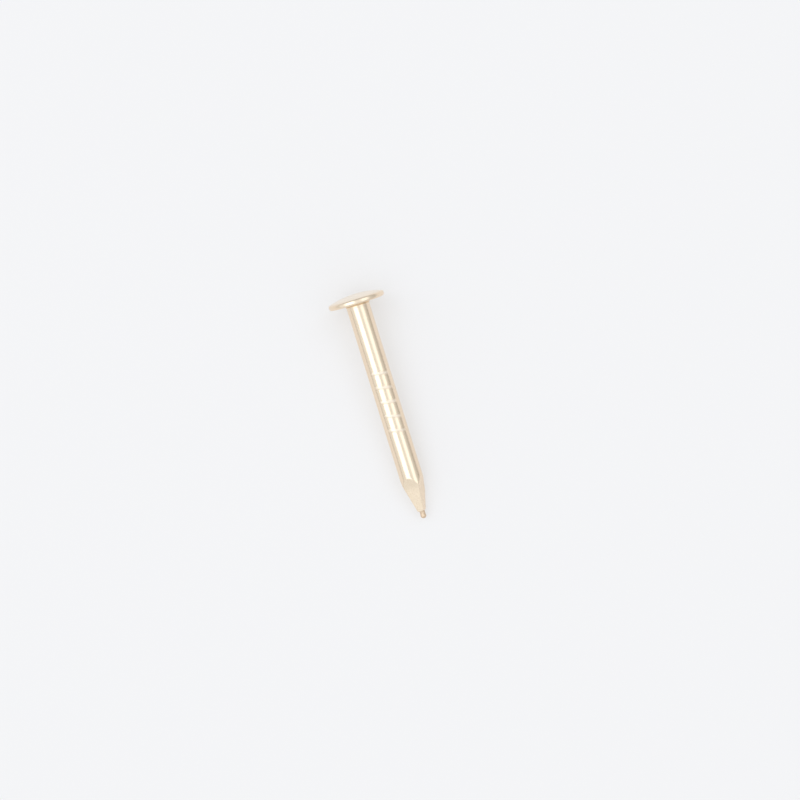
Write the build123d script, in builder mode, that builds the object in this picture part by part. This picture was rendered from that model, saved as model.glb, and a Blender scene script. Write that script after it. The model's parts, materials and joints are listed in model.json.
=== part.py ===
from build123d import *
import os
from math import asin, atan2, cos, hypot, radians, sin, tan

# An escutcheon pin: one piece of drawn brass wire. Its head is upset into a thin disc with a shallow
# dome, its shank carries five pairs of grip ridges left by the heading dies, and its end is pinched to
# a four-sided point that tears off in a small nib.
#
# The pin lies as it comes to rest on a flat surface: on the rim of its head and on the shoulder of its
# point, so its axis falls slightly towards the point. X runs from the head to the point, Z is up, and
# the origin is in the surface under the middle of the pin. All lengths are in millimetres.

# Driving dimensions
pin_length = 12.0  # from the seat under the head to the end of the nib
wire_diameter = 1.25
head_diameter = 3.05
rim_height = 0.27  # the straight-sided band of the head
dome_height = 0.25  # the dome above that band
rim_rounding = 0.11
neck_fillet = 0.07  # where the shank meets the seat

grip_count = 5
grip_start = 3.82  # from the seat to the first ridge
grip_pitch = 0.79
grip_width = 0.22
grip_height = 0.03
grip_half_span = 50.0  # degrees either side of the die's middle, where a ridge fades into the wire
grip_roll = 6.0  # degrees from straight up to the middle of the upper die, towards +Y

point_half_angle = 10.7  # degrees between a facet and the axis
shoulder_half_angle = 21.0  # the facets start at this steeper angle, where the pinching dies bite
shoulder_length = 0.48  # along the axis, from a facet's start to its bend
shoulder_bend = 1.5  # the radius of that bend
lower_facet = 175.0  # degrees from straight up, towards +Y, to the middle of the facet it rests over
facet_directions = (-21.0, 69.0, lower_facet, 249.0)
point_end_width = 0.34  # across the facets where the point tears off

nib_length = 0.42
nib_diameter = 0.27
nib_offset = 0.04  # the nib stands off the axis, towards +Y
nib_root_depth = 0.3  # how far the nib's body runs back inside the point

# Sizes that follow from them. Stations run along the axis from the seat, and are negative in the head.
wire_radius = wire_diameter / 2
head_radius = head_diameter / 2
nib_radius = nib_diameter / 2
head_top = -(rim_height + dome_height)
point_slope = tan(radians(point_half_angle))
point_end = pin_length - nib_length
shoulder_slope = tan(radians(shoulder_half_angle))
bend_height = wire_radius - shoulder_length * shoulder_slope
bend_station = point_end - (bend_height - point_end_width / 2) / point_slope
shoulder_start = bend_station - shoulder_length
shoulder_apex = shoulder_start + wire_radius / shoulder_slope  # where the shoulder would meet the axis


def shoulder_under(tilt):
    """The point's shoulder where it is lowest, as (station, distance below the axis), at this tilt."""
    off_facet = abs(radians(180 - lower_facet))
    lean = tan(tilt) / shoulder_slope
    swing = atan2(lean * sin(off_facet), 1 - lean * cos(off_facet))
    station = shoulder_apex - wire_radius * cos(off_facet + swing) / shoulder_slope
    return station, wire_radius * cos(swing)


def resting_tilt():
    """The angle between the axis and the surface, in radians, with the pin on its rim and its shoulder."""
    tilt = 0.0
    for _ in range(20):  # the shoulder's lowest place moves with the tilt, and settles in a few steps
        station, depth = shoulder_under(tilt)
        run = station + rim_rounding
        fall = head_radius - rim_rounding - depth
        tilt = atan2(fall, run) + asin(rim_rounding / hypot(run, fall))
    return tilt


# The pin's own frame: its origin is the middle of the seat, its z runs along the axis to the point,
# its x is the surface's +Y and its y is nearly straight up.
tilt = resting_tilt()
axis_direction = Vector(cos(tilt), 0, -sin(tilt))
dome_radius = (head_radius**2 + dome_height**2) / (2 * dome_height)
head_reach = dome_radius - (head_top + dome_radius) * cos(tilt)
point_reach = (pin_length - nib_radius) * cos(tilt) + nib_radius
seat_centre = Vector(
    (head_reach - point_reach) / 2,
    0,
    (head_radius - rim_rounding) * cos(tilt) - rim_rounding * sin(tilt) + rim_rounding,
)
pin_frame = Plane(origin=seat_centre, x_dir=(0, 1, 0), z_dir=axis_direction)


def radial(degrees):
    """The direction square to the axis, this many degrees from the pin's upper side towards +Y."""
    angle = radians(degrees)
    return pin_frame.x_dir * sin(angle) + pin_frame.y_dir * cos(angle)


def lengthwise(origin, up):
    """A plane along the axis, in which x is the distance to the point and y is outwards along up."""
    return Plane(origin=origin, x_dir=axis_direction, z_dir=axis_direction.cross(up))


with BuildPart() as escutcheon_pin:
    # The head and the shank, turned about the axis from half of their section.
    with BuildSketch(lengthwise(seat_centre, radial(0))) as blank_section:
        with BuildLine():
            RadiusArc((head_top, 0), (-rim_height, head_radius), dome_radius)
            Polyline(
                (-rim_height, head_radius),
                (0, head_radius),
                (0, wire_radius),
                (point_end, wire_radius),
                (point_end, 0),
                (head_top, 0),
            )
        make_face()
        rim_corners = blank_section.vertices().group_by(Axis.Y)[-1]
        fillet(rim_corners, radius=rim_rounding)
        neck_corner = blank_section.vertices().filter_by_position(
            Axis.Y, wire_radius - neck_fillet, wire_radius + neck_fillet
        ).sort_by(Axis.X)[0]
        fillet(neck_corner, radius=neck_fillet)
    revolve(axis=Axis(seat_centre, axis_direction))

    # The point's facets, each bitten out square to its own direction: a steep shoulder, then the long
    # taper to the end.
    for facet_direction in facet_directions:
        with BuildSketch(lengthwise(seat_centre, radial(facet_direction))) as facet_section:
            with BuildLine():
                Polyline(
                    (shoulder_start, wire_radius),
                    (bend_station, bend_height),
                    (point_end, point_end_width / 2),
                    (point_end, 2 * wire_radius),
                    (shoulder_start, 2 * wire_radius),
                    close=True,
                )
            make_face()
            bend_corner = facet_section.vertices().sort_by_distance((bend_station, bend_height, 0))[0]
            fillet(bend_corner, radius=shoulder_bend)
        extrude(amount=2 * wire_radius, both=True, mode=Mode.SUBTRACT)

    # The torn nib, round-ended and a little off the axis.
    nib_origin = seat_centre + radial(90) * nib_offset
    nib_start = point_end - nib_root_depth
    with BuildSketch(lengthwise(nib_origin, radial(0))) as nib_section:
        with BuildLine():
            Polyline(
                (pin_length, 0),
                (nib_start, 0),
                (nib_start, nib_radius),
                (pin_length - nib_radius, nib_radius),
            )
            RadiusArc((pin_length - nib_radius, nib_radius), (pin_length, 0), nib_radius)
        make_face()
    revolve(axis=Axis(nib_origin, axis_direction))

    # The grip ridges, in two rows on opposite sides. Each is the part of a ring that stands out of the
    # wire: the ring is narrower than the wire and stands off its axis towards the die.
    bead_radius = (grip_width**2 / 4 + grip_height**2) / (2 * grip_height)
    crest = wire_radius + grip_height
    fade = cos(radians(grip_half_span))
    ring_offset = (crest**2 - wire_radius**2) / (2 * (crest - wire_radius * fade))
    ring_radius = crest - ring_offset
    for side in (0, 180):
        die = radial(grip_roll + side)
        ring_centre = seat_centre + die * ring_offset
        with BuildSketch(lengthwise(ring_centre, die)) as ring_section:
            for ridge in range(grip_count):
                with Locations((grip_start + ridge * grip_pitch, ring_radius - bead_radius)):
                    Circle(bead_radius)
        revolve(axis=Axis(ring_centre, axis_direction))

escutcheon_pin.part.label = "escutcheon_pin"

os.makedirs("parts", exist_ok=True)
export_step(escutcheon_pin.part, "parts/escutcheon_pin.step")
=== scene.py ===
import json
import math
import random

import bpy
from mathutils import Matrix, Vector, noise


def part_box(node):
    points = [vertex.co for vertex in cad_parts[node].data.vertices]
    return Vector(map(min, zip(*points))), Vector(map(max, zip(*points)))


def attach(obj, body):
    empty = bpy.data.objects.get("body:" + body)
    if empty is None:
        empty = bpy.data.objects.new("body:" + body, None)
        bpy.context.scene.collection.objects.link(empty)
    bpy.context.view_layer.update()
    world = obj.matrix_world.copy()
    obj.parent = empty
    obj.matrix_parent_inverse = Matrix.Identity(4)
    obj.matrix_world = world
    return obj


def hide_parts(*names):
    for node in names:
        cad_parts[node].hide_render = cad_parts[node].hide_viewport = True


# A brass escutcheon pin, lying on white paper and seen from straight above. The pin is one closed mesh
# of rings about its axis. Stations run along the axis from the seat under the head, in millimetres, and
# are negative in the head. Angles turn about the axis from the pin's upper side towards +Y, in degrees.

MM = 0.001

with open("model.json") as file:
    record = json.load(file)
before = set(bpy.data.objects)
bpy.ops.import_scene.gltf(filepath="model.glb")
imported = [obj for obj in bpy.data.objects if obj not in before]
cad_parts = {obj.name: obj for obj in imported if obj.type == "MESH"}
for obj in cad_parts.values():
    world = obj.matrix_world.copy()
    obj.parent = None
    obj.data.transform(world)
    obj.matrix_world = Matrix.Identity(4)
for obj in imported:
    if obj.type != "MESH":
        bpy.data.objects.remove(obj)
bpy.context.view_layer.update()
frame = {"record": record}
low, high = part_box("escutcheon_pin")

# Where the pin lies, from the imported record's mounts.
mounts = {mount["name"]: mount for mount in frame["record"]["mounts"]}
AXIS = Vector(mounts["shank"]["axis"]).normalized()
shank_middle = Vector(mounts["shank"]["pos_m"])
SEAT = shank_middle + AXIS * AXIS.dot(Vector(mounts["head_seat"]["pos_m"]) - shank_middle)
SIDE = Vector((0, 1, 0))
UP = AXIS.cross(SIDE)

# Sizes, in millimetres.
WIRE_RADIUS = mounts["shank"]["dims"]["r_mm"]
HEAD_RADIUS = high.y / MM
RIM_HEIGHT = 0.27
DOME_HEIGHT = 0.25
RIM_ROUNDING = 0.11
NECK_FILLET = 0.04
HEAD_TOP = -(RIM_HEIGHT + DOME_HEIGHT)

GRIP_COUNT = 5
GRIP_START = 3.82
GRIP_PITCH = 0.79
GRIP_WIDTH = 0.25
GRIP_HEIGHT = 0.020
GRIP_HALF_SPAN = 50.0
GRIP_ROLL = 6.0

FACETS = (-21.0, 69.0, 175.0, 249.0)
POINT_SLOPE = math.tan(math.radians(10.7))
SHOULDER_SLOPE = math.tan(math.radians(21.0))
SHOULDER_LENGTH = 0.48
POINT_END_WIDTH = 0.34
NIB_LENGTH = 0.42
NIB_RADIUS = 0.135
NIB_STOUTNESS = 1.12  # torn metal bulges a little
NIB_OFFSET = 0.015
PIN_LENGTH = ((high.x - SEAT.x) / MM - NIB_RADIUS) / AXIS.x + NIB_RADIUS
POINT_END = PIN_LENGTH - NIB_LENGTH
BEND_HEIGHT = WIRE_RADIUS - SHOULDER_LENGTH * SHOULDER_SLOPE
BEND_STATION = POINT_END - (BEND_HEIGHT - POINT_END_WIDTH / 2) / POINT_SLOPE

COLUMNS = 180  # a column every 2 degrees, so that one runs along each edge of the point
POINT_START = 8.8  # well before the facets' rounded edges, where the wire is still round
EDGE_SOFTNESS = 0.012  # how much the edges of the point are rounded
BEND_SOFTNESS = 0.012  # and the bend between a facet's shoulder and its taper
TEAR_REACH = 0.03  # how far the torn end's rows run to either side of the point's end
# The rows of the shank and the point: up to each station, this many more.
BODY_ROWS = ((3.6, 30), (7.2, 170), (9.0, 12), (11.2, 100), (POINT_END - TEAR_REACH, 22))

# The brass's colours.
BRIGHT = (0.93, 0.775, 0.60, 1)
DEEP = (0.90, 0.74, 0.565, 1)
LINED = (0.87, 0.705, 0.52, 1)  # along the lines that drawing leaves
DOME_PAINTED_SHEEN = (0.96, 0.86, 0.73, 1)  # the dome, painted paler as a painted reflection
RUBBED_AND_SHEEN = (0.96, 0.83, 0.685, 1)  # the ridges' crests, partly rubbed metal and partly a painted highlight
PAINTED_SHADE_COLOUR = (0.52, 0.36, 0.21, 1)  # painted shade, darkening the neck's corner, the ridges' feet and the crease where the nib starts
TORN_PALE = (0.86, 0.68, 0.50, 1)
TORN_DARK = (0.60, 0.44, 0.31, 1)

# The paper, the room and the lamps.
PAPER = (0.386, 0.386, 0.408)
PAPER_SHADE = 0.985  # the paper's darkest cloud, as a share of its own colour
PAPER_GLOW = 0.50  # the paper's own light, which keeps the pin's shadow weak
GLOW_TINT = (1.02, 0.995, 0.95)
FLOOR_HALF_WIDTH = 3.0  # in metres, as all sizes of the room are
SKY_TOP = (0.88, 0.92, 0.95)
SKY_EDGE = (0.41, 0.41, 0.41)
LAMP_COLOUR = (1.0, 1.06, 1.11)
LAMP_LENGTH = 1.16
LAMP_SHIFT = 0.12  # the softboxes reach further past the head than past the point

# The camera, looking straight down.
CAMERA_RIGHT = Vector((0.2965, 0.9550, 0)).normalized()
CAMERA_HEIGHT = 0.1173  # above the pin's middle, in metres
AIM_RIGHT = 0.570  # from the pin's middle to the picture's, in millimetres
AIM_ABOVE = 0.334
LENS = 100
SENSOR_WIDTH = 36

chance = random.Random(11)


def smoothstep(value, start, end):
    """Rises smoothly from 0 at start to 1 at end."""
    share = min(max((value - start) / (end - start), 0.0), 1.0)
    return share * share * (3 - 2 * share)


def spread(start, end, count):
    """This many values from start to end, without the first."""
    return [start + (end - start) * (i + 1) / count for i in range(count)]


# The grip ridges, each with its own height, slant, reach and place, as worn dies leave them.
ridges = []
for number in range(GRIP_COUNT):
    for die in (GRIP_ROLL, GRIP_ROLL + 180):
        ridges.append({
            "station": GRIP_START + number * GRIP_PITCH + chance.uniform(0.02, 0.05),
            "die": die + chance.uniform(-4, 0),
            "height": GRIP_HEIGHT * chance.uniform(0.82, 1.0),
            "slant": chance.uniform(0.09, 0.12) + (0.04 if number > 2 else 0.0),
            "half_span": GRIP_HALF_SPAN + chance.uniform(-6, 0),
        })


def ridge_rise(station, angle):
    """How far the nearest grip ridge stands out of the wire here, and how near its foot is."""
    rise, foot = 0.0, 0.0
    for ridge in ridges:
        along = station - ridge["station"]
        if abs(along) > GRIP_WIDTH:
            continue
        turn = (angle - ridge["die"] + 180) % 360 - 180
        if abs(turn) > ridge["half_span"]:
            continue
        along -= ridge["slant"] * math.sin(math.radians(turn))
        fade = smoothstep(ridge["half_span"] - abs(turn), 0, 10)
        fade *= min(0.85 + 0.4 * noise.noise(Vector((turn * 0.07, ridge["station"] * 5, 2))), 1.0)
        bead = math.cos(math.pi * min(abs(along) / GRIP_WIDTH, 0.5)) ** 2
        rise = max(rise, ridge["height"] * fade * bead)
        edge = math.exp(-(((abs(along) - GRIP_WIDTH * 0.52) / 0.035) ** 2))
        foot = max(foot, edge * fade)
    return rise, foot


def soft_least(values, softness):
    """The least of the values, rounded where two are close."""
    least = min(values)
    return least - softness * math.log(sum(math.exp((least - value) / softness) for value in values))


def point_radius(station, angle):
    """The radius of the four-sided point, and how much of it is facet rather than wire."""
    taper = BEND_HEIGHT + (BEND_STATION - station) * POINT_SLOPE
    shoulder = BEND_HEIGHT + (BEND_STATION - station) * SHOULDER_SLOPE
    reach = -soft_least([-taper, -shoulder], BEND_SOFTNESS)
    cuts = [WIRE_RADIUS]
    for facet in FACETS:
        facing = math.cos(math.radians(angle - facet))
        if facing > 0.2:
            cuts.append(reach / facing)
    radius = soft_least(cuts, EDGE_SOFTNESS) if station > POINT_START else WIRE_RADIUS
    return radius, smoothstep(WIRE_RADIUS - min(cuts), 0.0, 0.012)


def nib_radius(station, angle):
    """The radius of the torn nib: waisted where it starts, uneven, and round at its end."""
    from_end = PIN_LENGTH - station
    if from_end <= 0:
        return 0.0
    waist = 1 - 0.08 * math.exp(-(((station - POINT_END - 0.1) / 0.09) ** 2))
    end = math.sqrt(max(1 - (1 - min(from_end / NIB_RADIUS, 1)) ** 2, 0))
    turn = math.radians(angle)
    tear = noise.noise(Vector((math.cos(turn) * 1.6, math.sin(turn) * 1.6, station * 9)))
    return NIB_RADIUS * NIB_STOUTNESS * waist * end * (1 + 0.07 * tear)


def head_outline():
    """Stations and radii of the head from the top of its dome to the neck."""
    dome = (HEAD_RADIUS**2 + DOME_HEIGHT**2) / (2 * DOME_HEIGHT)
    rim_centre = HEAD_RADIUS - RIM_ROUNDING
    corner = HEAD_TOP + dome - math.sqrt((dome - RIM_ROUNDING) ** 2 - rim_centre**2)
    shoulder = math.asin(rim_centre / (dome - RIM_ROUNDING))
    rows = []
    for turn in spread(0, shoulder, 26):
        rows.append((HEAD_TOP + dome * (1 - math.cos(turn)), dome * math.sin(turn)))
    for turn in spread(shoulder, math.pi / 2, 9):
        rows.append((corner - RIM_ROUNDING * math.cos(turn), rim_centre + RIM_ROUNDING * math.sin(turn)))
    for station in spread(corner, -RIM_ROUNDING, 3):
        rows.append((station, HEAD_RADIUS))
    for turn in spread(0, math.pi / 2, 9):
        rows.append((RIM_ROUNDING * (math.sin(turn) - 1), rim_centre + RIM_ROUNDING * math.cos(turn)))
    for radius in spread(rim_centre, WIRE_RADIUS + NECK_FILLET, 12):
        rows.append((0.0, radius))
    for turn in spread(0, math.pi / 2, 7):
        rows.append((NECK_FILLET * math.sin(turn), WIRE_RADIUS + NECK_FILLET * (1 - math.cos(turn))))
    return rows


def head_place(station, radius, angle):
    """A place on the head, a little uneven, as pressing leaves it."""
    turn = math.radians(angle)
    around = Vector((math.cos(turn), math.sin(turn), 0))
    share = radius / HEAD_RADIUS
    slow = noise.noise(around * 0.9 + Vector((3, 7, station)))
    rim = 0.006 * (1 - slow) * smoothstep(share, 0.55, 1)
    uneven = 1 + noise.noise(around * share * 1.7 + Vector((9, 2, 5)))
    flat = 0.010 * uneven * (station < -0.2)
    # Painted shade under the head, where it meets the wire.
    shade = 0.4 * math.exp(-(((radius - WIRE_RADIUS) / 0.12) ** 2)) * (station > -0.02)
    marks = {"upset": smoothstep(radius, 0.64, 0.8), "painted_shade": shade}
    return station + flat, radius - rim, angle, 0, marks


def body_place(station, angle):
    """A place on the shank or the point, with the grip ridges and the low seams beside the dies."""
    wire, cut = point_radius(station, angle)
    rise, foot = ridge_rise(station, angle)
    seam = abs((angle - GRIP_ROLL) % 180 - 90)
    burr = 0.004 * math.exp(-((seam / 3.0) ** 2)) * (1 - smoothstep(station, 6.9, 7.6))
    marks = {
        "upset": 1 - smoothstep(station, 0.05, 0.35),
        "facet": cut,
        # Painted shade in the neck's corner and along the ridges' feet.
        "painted_shade": max(0.35 * foot, 0.4 * math.exp(-station / 0.12)),
        "crest": rise / GRIP_HEIGHT,
    }
    return station, wire + rise + burr, angle, 0, marks


def tip_place(station, angle):
    """A place where the point tears off, or on the nib."""
    share = smoothstep(station, POINT_END - 0.02, POINT_END + 0.02)
    wire, cut = point_radius(min(station, POINT_END + TEAR_REACH), angle)
    radius = wire + (min(nib_radius(station, angle), wire) - wire) * share
    off_axis = NIB_OFFSET * smoothstep(station, POINT_END - TEAR_REACH, POINT_END + 0.05)
    # Painted shade in the crease where the point meets the nib.
    marks = {"facet": cut * (1 - share), "torn": share, "painted_shade": 0.6 * share * (1 - share)}
    return station, radius, angle, off_axis, marks


def pin_rows():
    """The rings of the mesh from the head to the nib, each as what places it and what that is given."""
    rows = [(head_place, row) for row in head_outline()]
    start = NECK_FILLET
    for end, count in BODY_ROWS:
        rows += [(body_place, (station,)) for station in spread(start, end, count)]
        start = end
    tip = spread(start, POINT_END + TEAR_REACH, 12)
    tip += spread(POINT_END + TEAR_REACH, PIN_LENGTH - NIB_RADIUS, 14)
    tip += [PIN_LENGTH - NIB_RADIUS * (1 - math.sin(turn)) for turn in spread(0, math.pi / 2, 10)[:-1]]
    return rows + [(tip_place, (station,)) for station in tip]


def ring_faces(row_count):
    """The faces between the rings, closed by a fan round the first point and one round the last."""
    faces = []
    first, last = 0, 1 + row_count * COLUMNS
    for column in range(COLUMNS):
        beside = (column + 1) % COLUMNS
        faces.append((first, 1 + column, 1 + beside))
        for row in range(row_count - 1):
            start, end = 1 + row * COLUMNS, 1 + (row + 1) * COLUMNS
            faces.append((start + column, end + column, end + beside, start + beside))
        start = 1 + (row_count - 1) * COLUMNS
        faces.append((start + column, last, start + beside))
    return faces


def make_pin():
    """The pin's mesh, with attributes that tell the material what each place is."""
    points, pin_place = [], []
    attributes = {name: [] for name in ("upset", "facet", "torn", "painted_shade", "crest")}

    def add(station, radius, angle, off_axis, marks):
        turn = math.radians(angle)
        across = radius * math.sin(turn) + off_axis
        upwards = radius * math.cos(turn)
        points.append(SEAT + (AXIS * station + SIDE * across + UP * upwards) * MM)
        pin_place.append((station, upwards, across))
        for name, values in attributes.items():
            values.append(float(marks.get(name, 0)))

    rows = pin_rows()
    add(HEAD_TOP + 0.012, 0, 0, 0, {"upset": 1})
    for place, given in rows:
        for column in range(COLUMNS):
            add(*place(*given, column * 360 / COLUMNS))
    add(PIN_LENGTH, 0, 0, NIB_OFFSET, {"torn": 1})

    mesh = bpy.data.meshes.new("escutcheon_pin_mesh")
    mesh.from_pydata([tuple(point) for point in points], [], ring_faces(len(rows)))
    mesh.shade_smooth()
    places = mesh.attributes.new("pin_place", "FLOAT_VECTOR", "POINT")
    places.data.foreach_set("vector", [value for place in pin_place for value in place])
    for name, values in attributes.items():
        mesh.attributes.new(name, "FLOAT", "POINT").data.foreach_set("value", values)
    mesh.validate()
    pin = bpy.data.objects.new("brass_pin", mesh)
    bpy.context.scene.collection.objects.link(pin)
    return pin


class Nodes:
    """A short way to write a node tree. The mix node's colour sockets come after its vector ones."""

    def __init__(self, tree):
        self.tree = tree
        tree.nodes.clear()

    def add(self, kind, **settings):
        node = self.tree.nodes.new(kind)
        for name, value in settings.items():
            setattr(node, name, value)
        return node

    def feed(self, node, name, value):
        socket = node.inputs[name]
        if isinstance(value, bpy.types.NodeSocket):
            self.tree.links.new(value, socket)
        else:
            socket.default_value = value

    def math(self, operation, first, second=0.0, third=0.0):
        node = self.add("ShaderNodeMath", operation=operation)
        for index, value in enumerate((first, second, third)):
            self.feed(node, index, value)
        return node.outputs[0]

    def attribute(self, name, output="Fac"):
        return self.add("ShaderNodeAttribute", attribute_name=name).outputs[output]

    def scaled(self, vector, scale):
        node = self.add("ShaderNodeMapping")
        self.feed(node, "Vector", vector)
        self.feed(node, "Scale", scale)
        return node.outputs[0]

    def noise(self, vector, detail=3.0, roughness=0.5, distortion=0.0):
        node = self.add("ShaderNodeTexNoise")
        self.feed(node, "Vector", vector)
        self.feed(node, "Scale", 1.0)
        self.feed(node, "Detail", detail)
        self.feed(node, "Roughness", roughness)
        self.feed(node, "Distortion", distortion)
        return node.outputs[0]

    def ramp(self, value, start, end):
        node = self.add("ShaderNodeMapRange", clamp=True)
        self.feed(node, "Value", value)
        self.feed(node, "From Min", start)
        self.feed(node, "From Max", end)
        return node.outputs[0]

    def mix(self, share, first, second):
        node = self.add("ShaderNodeMix", data_type="RGBA")
        self.feed(node, 0, share)
        self.feed(node, 6, first)
        self.feed(node, 7, second)
        return node.outputs[2]

    def between(self, share, first, second):
        node = self.add("ShaderNodeMix", data_type="FLOAT")
        self.feed(node, 0, share)
        self.feed(node, 2, first)
        self.feed(node, 3, second)
        return node.outputs[0]


def brass():
    """Bright drawn brass: fine lines along the wire, a pressed head, sheared facets and a torn nib, with
    a painted reflection on the dome, painted highlights on the ridges' crests and painted shade in
    corners and creases.
    """
    material = bpy.data.materials.new("drawn_brass")
    material.use_nodes = True
    nodes = Nodes(material.node_tree)
    place = nodes.attribute("pin_place", "Vector")
    upset = nodes.attribute("upset")
    facet = nodes.attribute("facet")
    torn = nodes.attribute("torn")
    painted_shade = nodes.attribute("painted_shade")
    crest = nodes.attribute("crest")

    draw_lines = nodes.noise(nodes.scaled(place, (0.16, 26, 26)), 4.0, 0.6)
    fine_lines = nodes.noise(nodes.scaled(place, (0.9, 70, 70)), 2.0, 0.5)
    patches = nodes.noise(nodes.scaled(place, (0.7, 1.6, 1.6)), 4.0, 0.6)
    grain = nodes.noise(nodes.scaled(place, (34, 34, 34)), 3.0, 0.6)
    shear = nodes.noise(nodes.scaled(place, (5, 46, 46)), 3.0, 0.6, 0.3)
    tear = nodes.noise(nodes.scaled(place, (16, 24, 24)), 4.0, 0.7)

    clean = nodes.mix(nodes.ramp(patches, 0.3, 0.7), BRIGHT, DEEP)
    lined = nodes.mix(nodes.ramp(draw_lines, 0.45, 0.75), clean, LINED)
    station = nodes.add("ShaderNodeSeparateXYZ")
    nodes.feed(station, 0, place)
    # Painted reflection: the dome is painted paler than the rest of the brass.
    dome = nodes.ramp(station.outputs[0], -0.22, -0.34)
    with_painted_sheen = nodes.mix(dome, lined, DOME_PAINTED_SHEEN)
    # The ridges' crests are paler: partly rubbed metal, partly a painted highlight.
    with_painted_sheen = nodes.mix(nodes.ramp(crest, 0.15, 0.7), with_painted_sheen, RUBBED_AND_SHEEN)
    # Painted shade: darker brown in corners and creases, where shade falls.
    with_painted_shade = nodes.mix(nodes.math("MULTIPLY", painted_shade, 0.22), with_painted_sheen, PAINTED_SHADE_COLOUR)
    broken = nodes.mix(nodes.ramp(tear, 0.35, 0.7), TORN_PALE, TORN_DARK)
    colour = nodes.mix(torn, with_painted_shade, broken)

    wire_rough = nodes.between(nodes.ramp(draw_lines, 0.3, 0.75), 0.17, 0.30)
    head_rough = nodes.between(nodes.ramp(grain, 0.3, 0.7), 0.22, 0.34)
    facet_rough = nodes.between(nodes.ramp(shear, 0.3, 0.7), 0.22, 0.36)
    rough = nodes.between(upset, wire_rough, head_rough)
    rough = nodes.between(facet, rough, facet_rough)
    rough = nodes.between(nodes.ramp(crest, 0.1, 0.6), rough, 0.46)
    rough = nodes.between(torn, rough, nodes.between(nodes.ramp(tear, 0.3, 0.7), 0.34, 0.55))
    rough = nodes.math("ADD", rough, nodes.math("MULTIPLY", painted_shade, 0.12))

    lines = nodes.math("MULTIPLY_ADD", fine_lines, 0.35, draw_lines)
    relief = nodes.between(upset, lines, nodes.math("MULTIPLY", grain, 0.8))
    relief = nodes.between(facet, relief, nodes.math("MULTIPLY", shear, 1.2))
    relief = nodes.between(torn, relief, nodes.math("MULTIPLY", tear, 9.0))
    bump = nodes.add("ShaderNodeBump")
    nodes.feed(bump, "Strength", 1.0)
    nodes.feed(bump, "Distance", 1.2e-6)
    nodes.feed(bump, "Height", relief)

    shader = nodes.add("ShaderNodeBsdfPrincipled")
    nodes.feed(shader, "Metallic", 1.0)
    nodes.feed(shader, "Base Color", colour)
    nodes.feed(shader, "Roughness", rough)
    nodes.feed(shader, "Normal", bump.outputs[0])
    output = nodes.add("ShaderNodeOutputMaterial")
    nodes.feed(output, "Surface", shader.outputs[0])
    return material


def paper():
    """White paper, with a faint unevenness."""
    material = bpy.data.materials.new("white_paper")
    material.use_nodes = True
    nodes = Nodes(material.node_tree)
    place = nodes.add("ShaderNodeTexCoord").outputs["Object"]
    cloud = nodes.noise(nodes.scaled(place, (60, 60, 60)), 2.0, 0.5)
    fibres = nodes.noise(nodes.scaled(place, (2500, 2500, 2500)), 3.0, 0.6)
    tone = nodes.math("ADD", nodes.math("MULTIPLY", cloud, 0.7), nodes.math("MULTIPLY", fibres, 0.3))
    shaded = [part * PAPER_SHADE for part in PAPER]
    colour = nodes.mix(tone, (*shaded, 1), (*PAPER, 1))
    bump = nodes.add("ShaderNodeBump")
    nodes.feed(bump, "Strength", 0.3)
    nodes.feed(bump, "Distance", 1.0e-5)
    nodes.feed(bump, "Height", fibres)
    shader = nodes.add("ShaderNodeBsdfPrincipled")
    nodes.feed(shader, "Base Color", colour)
    nodes.feed(shader, "Roughness", 0.9)
    nodes.feed(shader, "Specular IOR Level", 0.0)
    nodes.feed(shader, "Emission Color", (*GLOW_TINT, 1))
    nodes.feed(shader, "Emission Strength", PAPER_GLOW)
    nodes.feed(shader, "Normal", bump.outputs[0])
    output = nodes.add("ShaderNodeOutputMaterial")
    nodes.feed(output, "Surface", shader.outputs[0])
    return material


def make_floor():
    """A large sheet of paper at the level the pin lies on."""
    half = FLOOR_HALF_WIDTH
    corners = [(-half, -half, 0), (half, -half, 0), (half, half, 0), (-half, half, 0)]
    mesh = bpy.data.meshes.new("paper_mesh")
    mesh.from_pydata(corners, [], [(0, 1, 2, 3)])
    floor = bpy.data.objects.new("paper", mesh)
    bpy.context.scene.collection.objects.link(floor)
    floor.data.materials.append(paper())
    return floor


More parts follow.
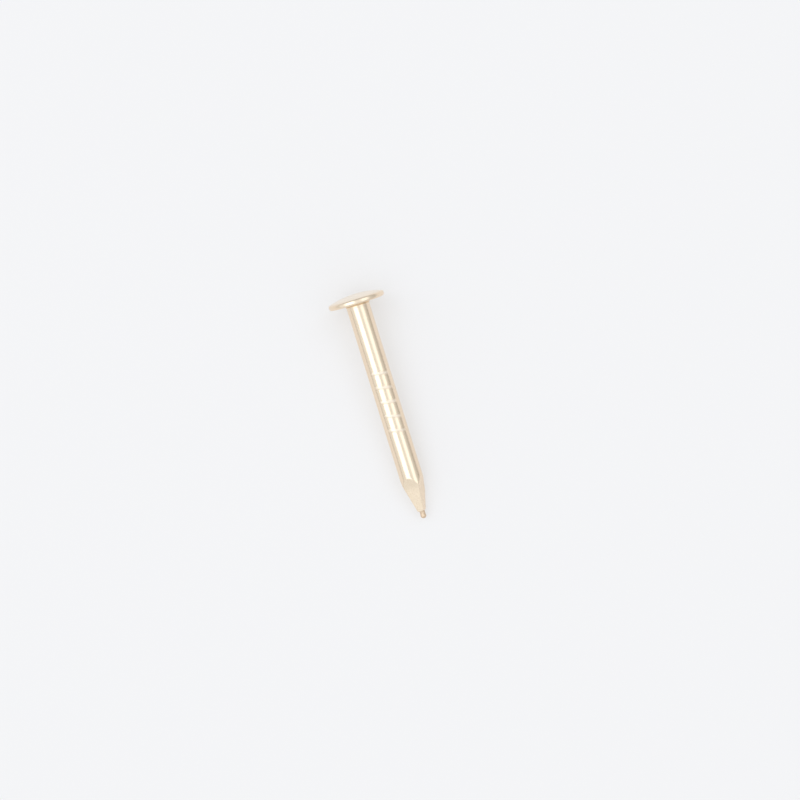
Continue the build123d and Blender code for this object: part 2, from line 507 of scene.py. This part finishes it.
def make_sky():
    """A soft room: lightest overhead and darker towards the horizon."""
    world = bpy.data.worlds.new("soft_room")
    bpy.context.scene.world = world
    world.use_nodes = True
    nodes = Nodes(world.node_tree)
    direction = nodes.add("ShaderNodeTexCoord").outputs["Generated"]
    parts = nodes.add("ShaderNodeSeparateXYZ")
    nodes.feed(parts, 0, direction)
    # The dark band along the horizon is thin on the left and past the point, wider on the right, and
    # highest past the head.
    ahead = nodes.math("MAXIMUM", parts.outputs[0], 0.0)
    band = nodes.math("MULTIPLY_ADD", parts.outputs[1], 0.28, 0.52)
    band = nodes.math("MULTIPLY_ADD", ahead, -0.34, band)
    height = nodes.math("DIVIDE", parts.outputs[2], band)
    height = nodes.math("MULTIPLY", height, nodes.ramp(parts.outputs[0], -0.85, -0.45))
    height = nodes.math("MINIMUM", nodes.math("MAXIMUM", height, 0.0), 1.0)
    colour = nodes.mix(height, (*SKY_EDGE, 1), (*SKY_TOP, 1))
    background = nodes.add("ShaderNodeBackground")
    nodes.feed(background, "Color", colour)
    nodes.feed(background, "Strength", 1.0)
    output = nodes.add("ShaderNodeOutputWorld")
    nodes.feed(output, "Surface", background.outputs[0])


def make_lamp(name, lean, width, radiance):
    """A softbox a metre away, leaning this many degrees from straight up towards +Y."""
    turn = math.radians(lean)
    back = Vector((0, math.sin(turn), math.cos(turn)))
    data = bpy.data.lights.new(name, "AREA")
    data.shape = "RECTANGLE"
    data.size = LAMP_LENGTH
    data.size_y = width
    data.energy = radiance * math.pi * LAMP_LENGTH * width
    data.color = LAMP_COLOUR
    lamp = bpy.data.objects.new(name, data)
    along = Vector((1, 0, 0))
    facing = Matrix((along, back.cross(along), back)).transposed().to_4x4()
    lamp.matrix_world = Matrix.Translation(back - along * LAMP_SHIFT) @ facing
    bpy.context.scene.collection.objects.link(lamp)


def make_camera():
    """Straight overhead, with the head away from the viewer and the point a little to the right."""
    above = Vector((-CAMERA_RIGHT.y, CAMERA_RIGHT.x, 0))
    middle = Vector(((low.x + high.x) / 2, (low.y + high.y) / 2, high.z / 2))
    aim = middle + (CAMERA_RIGHT * AIM_RIGHT + above * AIM_ABOVE) * MM
    data = bpy.data.cameras.new("overhead")
    data.lens = LENS
    data.sensor_width = SENSOR_WIDTH
    data.clip_start = 0.01
    data.clip_end = 20
    camera = bpy.data.objects.new("overhead", data)
    facing = Matrix((CAMERA_RIGHT, above, Vector((0, 0, 1)))).transposed().to_4x4()
    camera.matrix_world = Matrix.Translation(aim + Vector((0, 0, CAMERA_HEIGHT))) @ facing
    bpy.context.scene.collection.objects.link(camera)
    bpy.context.scene.camera = camera


pin = make_pin()
pin.data.materials.append(brass())
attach(pin, "root")
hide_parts("escutcheon_pin")

make_floor()
make_sky()
make_lamp("left_softbox", lean=-29.5, width=0.69, radiance=1.0)
make_lamp("right_softbox", lean=33.5, width=0.50, radiance=0.52)
make_camera()
bpy.context.scene.view_settings.view_transform = "Standard"
